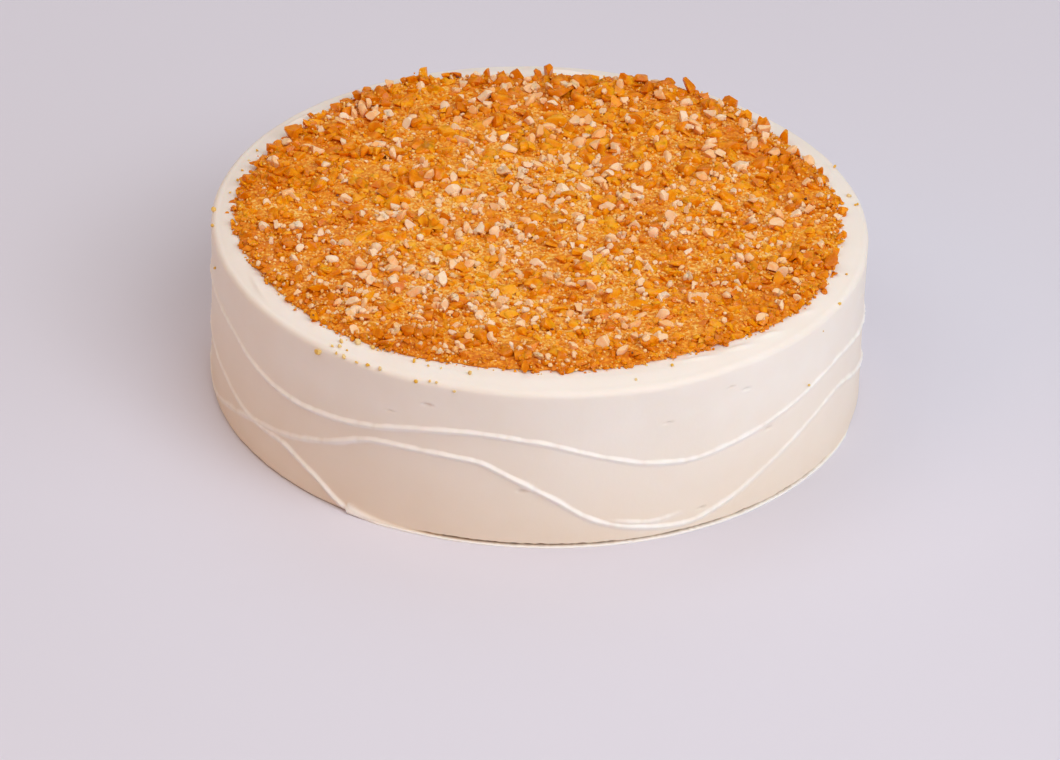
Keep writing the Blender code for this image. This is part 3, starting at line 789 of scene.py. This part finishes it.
# Wide and flat are shares of a crumb's size, lean is in radians and sunk is the share that is pressed in. A
# favour above 1 makes small crumbs more common, edge is the share that lies along the rim, margin keeps them
# inside it by their size, gather puts them where nuts are, and coarser makes them larger by the back. Marks
# are crumbs with places of their own: angle, distance out and size.
crumbDefaults = {
    "count": 0, "size": (1, 2), "favour": 1, "coarser": 0, "edge": 0, "margin": 0, "gather": 0, "roll": 0,
    "warmth": 0, "chip": (0.18, 0.38), "smooth": 0, "marks": (), "scale": 1,
}
crumbKinds = {
    "caramel_grains": {
        "seed": 11, "count": 2200, "size": (1.6, 3.4), "favour": 1.3, "wide": (0.65, 1.0), "flat": (0.5, 0.8),
        "lean": 0.35, "sunk": 0.4, "detail": 1, "cuts": 2, "rough": 0.12, "shapes": 16, "edge": 0.12,
        "margin": 0.45, "gather": -0.2, "tint": (0.47, 0.22), "warmth": 1.2, "smooth": 45,
        "look": caramelLook},
    "caramel_shards": {
        "seed": 13, "count": 1450, "size": (3.6, 7.8), "coarser": 0.25, "favour": 1.2, "wide": (0.6, 0.95),
        "flat": (0.42, 0.64), "lean": 0.22, "sunk": 0.54, "detail": 2, "cuts": 7, "chip": (0.14, 0.34),
        "rough": 0.04, "shapes": 24, "edge": 0.18, "margin": 0.4, "gather": -0.3, "tint": (0.42, 0.22),
        "warmth": 1.4, "smooth": 55, "look": caramelLook,
        "marks": ((-89, 95.2, 2.8), (95, 93.1, 3), (73, 92.9, 4), (66, 94.0, 3), (-93, 94.0, 3.5))},
    "golden_crumbs": {
        "seed": 15, "count": 6000, "size": (0.5, 1.2), "favour": 1.5, "wide": (0.7, 1.0), "flat": (0.6, 1.0),
        "lean": 0.8, "sunk": 0.3, "roll": 1.6, "detail": 1, "cuts": 0, "rough": 0.2, "shapes": 12,
        "edge": 0.02, "margin": 0.9, "gather": 0.2, "tint": (0.55, 0.36), "warmth": 0.7, "look": goldLook},
    "pale_crumbs": {
        "seed": 18, "count": 3800, "size": (0.5, 1.3), "favour": 1.4, "wide": (0.6, 1.0), "flat": (0.6, 1.0),
        "lean": 0.8, "sunk": 0.3, "roll": 1.6, "detail": 1, "cuts": 0, "rough": 0.22, "shapes": 12,
        "edge": 0.02, "margin": 0.8, "gather": 1.1, "tint": (0.58, 0.28), "warmth": 0.3, "look": paleLook},
    "nut_grains": {
        "seed": 12, "count": 700, "size": (1.2, 2.8), "favour": 1.3, "wide": (0.55, 1.0), "flat": (0.6, 0.95),
        "lean": 0.5, "sunk": 0.3, "roll": 0.8, "detail": 1, "cuts": 4, "rough": 0.08, "shapes": 24,
        "edge": 0.03, "margin": 0.6, "gather": 0.8, "tint": (0.5, 0.25), "warmth": 0.3, "smooth": 40,
        "look": nutLook},
    "nut_pieces": {
        "seed": 14, "count": 490, "size": (3.0, 5.6), "coarser": 0.25, "favour": 1.3, "wide": (0.45, 0.9),
        "flat": (0.5, 0.8), "lean": 0.4, "sunk": 0.38, "detail": 2, "cuts": 7, "chip": (0.14, 0.34),
        "rough": 0.04, "shapes": 24, "edge": 0.03, "margin": 0.7, "gather": 0.9, "tint": (0.52, 0.24),
        "warmth": 0.2, "smooth": 35, "look": nutLook,
        "marks": ((-147.3, 90, 6.6), (-106.3, 85.4, 5.6), (-116, 77, 5.4), (165.3, 89.5, 4.4),
                  (157.7, 92.5, 4.6), (-117, 91.1, 3.4), (-116, 87.9, 4.6), (-117, 81.6, 4.2),
                  (-125, 87.5, 4.6), (131, 84.4, 4.6), (120, 82.6, 5.8), (106, 84.7, 5), (105, 88.4, 5.4),
                  (87, 72.3, 8), (94, 54.1, 7.4), (93, 90.9, 4.2), (-144, 32.1, 3.6), (-95, 23.6, 3.8),
                  (-160, 12.3, 3.6), (-109, 87.7, 4.6), (139, 31.2, 4.6), (-179, 48.5, 7.2),
                  (-34, 51.9, 7.4), (14.7, 77.8, 7.4), (-36, 62.7, 7), (-43, 80.8, 6.6), (17.5, 84.6, 5.4),
                  (8.1, 78.9, 5), (26.8, 81.2, 5.4), (31, 75, 5.8), (-15.5, 63.6, 4.6), (-14.7, 78.5, 4.4),
                  (-3.4, 83.2, 4.2), (-10.5, 56, 4.8), (54.6, 89.2, 4.8), (48.8, 88.9, 5),
                  (115.5, 91.6, 5.4), (128.7, 88, 6.2), (-153, 25.3, 6.2), (-50, 56.8, 6.4),
                  (-151, 16.1, 5.6), (-136, 76.4, 5.6), (-54, 22.3, 5.4), (-94, 59.4, 5.4), (-57, 29, 5),
                  (118, 33.4, 5), (-84, 36.3, 4.8), (-28.6, 72.8, 4.8), (92, 11, 4.6), (-93, 78.3, 4.6),
                  (57, 14.6, 4.6), (81, 64.8, 4.4), (94, 44.6, 4.4), (-21, 30.9, 5))},
    "rim_shards": {
        "seed": 21, "scale": 1.2, "wide": (0.6, 0.9), "flat": (0.45, 0.8), "lean": 0.7, "sunk": 0.25,
        "detail": 1, "cuts": 8, "chip": (0.12, 0.3), "rough": 0.05, "shapes": 30, "tint": (0.3, 0.2),
        "warmth": 1.0, "smooth": 20, "look": caramelLook,
        "marks": ((-119.3, 89.0, 7.4), (-123.5, 87, 5), (-106.3, 91, 5.4), (-112, 90, 4.2),
                  (-92.9, 90.6, 5.6), (-99, 91.8, 3.8), (-128.6, 92.4, 4.4), (-134, 90, 5.6),
                  (-140.5, 91.2, 7), (-143.5, 93.6, 3.8), (-148.5, 93.4, 3.6), (-152.5, 90.5, 5),
                  (-155.5, 92.4, 6.6), (-159.6, 89.2, 4.2), (-162, 91.6, 5), (-168, 87.5, 5.4),
                  (-174.3, 89.2, 7), (-178.5, 86.5, 4), (179.3, 89.5, 7.2), (175, 87, 4.4),
                  (171.5, 86, 5.6), (164, 88.5, 4), (160.5, 90.5, 6.2), (155, 93.6, 4.4),
                  (150.8, 93.2, 7.4), (146.5, 90.5, 4.6), (141.5, 93.2, 6.6), (136.2, 92.2, 4.2),
                  (133.1, 93.4, 5.6), (129.8, 89.6, 5.6), (124.9, 91, 6.4), (119.1, 90.6, 5),
                  (110.3, 91.6, 5), (95.5, 92.8, 5.4), (87.2, 92.6, 4.2), (74.7, 91.4, 5.6), (67, 93, 4.4),
                  (58.9, 92, 4.6), (80, 91.2, 3.8), (-84.5, 93.4, 4.6), (-75.9, 92.6, 4.4),
                  (-64.3, 90.8, 3.8), (-53.8, 91.6, 4.2), (-45.5, 92.6, 3.8), (-31.7, 89.1, 4.6),
                  (-26, 87.7, 4), (-2, 89.4, 5), (6.6, 89.8, 4.4), (10.8, 88.5, 3.8), (35, 89, 4),
                  (-14, 87.4, 4.2))},
    "burnt_specks": {
        "seed": 16, "count": 26, "size": (0.6, 1.4), "favour": 1.6, "wide": (0.7, 1.0), "flat": (0.6, 1.0),
        "lean": 0.8, "sunk": 0.3, "detail": 1, "cuts": 1, "rough": 0.2, "shapes": 8, "edge": 0.1,
        "tint": (0.5, 0.3), "look": burntLook},
}


# crumbs that fell beside the bed, each with its angle, distance out, height and size
strays = {
    "seed": 17, "scale": 1.25, "wide": (0.6, 1.0), "flat": (0.6, 1.0), "lean": 0.8, "detail": 1, "cuts": 2,
    "rough": 0.12, "shapes": 10, "tint": (0.4, 0.3),
    "onTop": 54.9,  # a crumb as high as this lies on the top, which gives it its height
    "look": {
        "colours": [(0.0, (0.78, 0.42, 0.035)), (0.5, (0.82, 0.54, 0.14)), (1.0, (0.84, 0.64, 0.32))],
        "sheen": (0.4, 0.6), "glow": 0.2, "glowDepth": 0.0004, "glowColour": (1.0, 0.9, 0.8), "shine": 0.2,
        "coat": 0.0, "cloud": 900, "drift": 0.3, "pores": 2000,
    },
    "at": ((-40, 100.2, 51.6, 2.7), (-37.2, 95.3, 55, 1.4), (-36.6, 97.2, 55, 1.2), (-37.8, 98.2, 55, 0.9),
           (-36.1, 99.9, 53.8, 1.0), (-34.5, 99.9, 53.6, 1.5), (-31.8, 100.0, 53.4, 1.1),
           (-29.6, 99.9, 53.8, 1.2), (-27.2, 99.9, 53.8, 1.2), (-34.4, 93.2, 55, 2.0),
           (-31.2, 92.9, 55, 1.4), (-34.9, 97.4, 55, 0.7), (-22.5, 93.4, 55, 1.3), (-19.6, 93.9, 55, 0.8),
           (-17.2, 93.7, 55, 0.7), (-11.8, 94.2, 55, 1.4), (-20.4, 100.2, 52.8, 1.2),
           (-18, 99.9, 53.8, 0.8), (-16.8, 99.9, 53.8, 1.0), (-13.6, 100.2, 52, 1.1),
           (64.9, 99.9, 53.5, 1.2), (58.5, 100.2, 49.6, 0.7), (54.3, 100.9, 34.6, 0.9),
           (25.6, 93.1, 55, 0.9), (17.9, 96.4, 55, 1.0), (113.5, 98.8, 55, 1.0), (102.6, 97, 55, 1.5),
           (99.5, 97.8, 55, 0.8), (99.7, 98.6, 55, 0.8), (74, 96.6, 55, 0.9), (-90.9, 99.6, 54.0, 1.6),
           (-85.5, 99.8, 53.8, 1.2), (-101, 94.9, 55, 0.9), (-105, 95.3, 55, 0.8), (-109, 95.5, 55, 0.7),
           (-113, 95.7, 55, 0.8), (-96.5, 95.7, 55, 0.8), (-78, 100.2, 46.4, 0.9)),
}


def makeStrays():
    kind = {**crumbDefaults, **strays}
    draw = random.Random(kind["seed"])
    shapes = [shardShape(kind, draw) for _ in range(kind["shapes"])]
    crumbs = []
    for angle, out, height, size in kind["at"]:
        shape, _, thick = crumbCopy(kind, draw, shapes, size * kind["scale"])
        if height > kind["onTop"]:
            height = creamTop / mm - float(topDrop(np.float64(out))) - 0.1 + thick * 0.38
        shape.transform(Matrix.Translation(polar(angle, out, height) * mm))
        crumbs.append((shape, draw.gauss(*kind["tint"])))
    joinCrumbs("stray_crumbs", kind, crumbs)
    for shape in shapes:
        bpy.data.meshes.remove(shape)


def makeTopping():
    makeBed()
    startPile()
    for name, kind in crumbKinds.items():
        makeCrumbs(name, {**crumbDefaults, **kind})
    makeStrays()


camera = {
    "distance": 2.2,
    "elevation": 31.18,
    "roll": 1.80,
    "focal": 7128.5,  # in pixels of the 1060 wide picture
    "aside": (5.3, -6.4),  # how far the middle of the foot lies right of and below the picture's, in pixels
    "picture": 1060,
    "sensor": 36,
}


def makeCamera():
    look = camera
    rise = math.radians(look["elevation"])
    data = bpy.data.cameras.new("camera")
    data.sensor_width = look["sensor"]
    data.lens = look["sensor"] * look["focal"] / look["picture"]
    right, down = look["aside"]
    data.shift_x = -right / look["picture"]
    data.shift_y = down / look["picture"]
    data.clip_start, data.clip_end = 0.1, 20
    body = bpy.data.objects.new("camera", data)
    back = Vector((0, -math.cos(rise), math.sin(rise)))
    body.location = back * look["distance"]
    roll = Matrix.Rotation(math.radians(look["roll"]), 3, "Z")
    body.rotation_euler = ((-back).to_track_quat("-Z", "Y").to_matrix() @ roll).to_euler()
    bpy.context.scene.collection.objects.link(body)
    bpy.context.scene.camera = body


studio = {
    "floor": (0.721, 0.707, 0.782),
    "floorReach": 6,
    "world": ((1.0, 0.82, 0.63), 0.246),  # colour and strength
    # each lamp: where it hangs, what it points at, its width, its power and its colour
    "lamps": {
        "key": ((0.74, -1.05, 1.56), (0, 0, 0.03), 1.6, 21.8, (0.94, 0.96, 1.0)),
        "right": ((1.57, -0.91, 0.88), (0, 0, 0.03), 1.6, 11.7, (0.84, 0.88, 1.0)),
        "left": ((-1.0, 0, 1.76), (0, 0, 0.03), 1.6, 8.0, (1.0, 0.99, 0.98)),
        "warm": ((-1.57, -0.91, 0.88), (0, 0, 0.03), 1.6, 4.6, (1.0, 0.28, 0.02)),
        "back": ((0, 1.29, 1.56), (0, 0, 0.03), 1.6, 6.9, (0.70, 0.80, 1.0)),
    },
}


def makeStudio():
    bm = bmesh.new()
    bmesh.ops.create_grid(bm, x_segments=1, y_segments=1, size=studio["floorReach"])
    mesh = meshOf(bm, "floor")
    floor = bpy.data.objects.new("floor", mesh)
    bpy.context.scene.collection.objects.link(floor)
    mesh.materials.append(newMaterial("floor", Roughness=0.7, Base_Color=(*studio["floor"], 1))[0])
    world = bpy.data.worlds.new("studio")
    world.use_nodes = True
    colour, power = studio["world"]
    world.node_tree.nodes["Background"].inputs["Color"].default_value = (*colour, 1)
    world.node_tree.nodes["Background"].inputs["Strength"].default_value = power
    bpy.context.scene.world = world
    for name, (place, aim, size, power, colour) in studio["lamps"].items():
        lamp = bpy.data.lights.new(name, "AREA")
        lamp.shape = "DISK"
        lamp.size = size
        lamp.energy = power
        lamp.color = colour
        body = bpy.data.objects.new(name, lamp)
        body.location = place
        body.rotation_euler = (Vector(aim) - Vector(place)).to_track_quat("-Z", "Y").to_euler()
        bpy.context.scene.collection.objects.link(body)
    bpy.context.scene.view_settings.view_transform = "Standard"
    print("studio ready")


makeFrosting()
makeTopping()
makeCamera()
makeStudio()
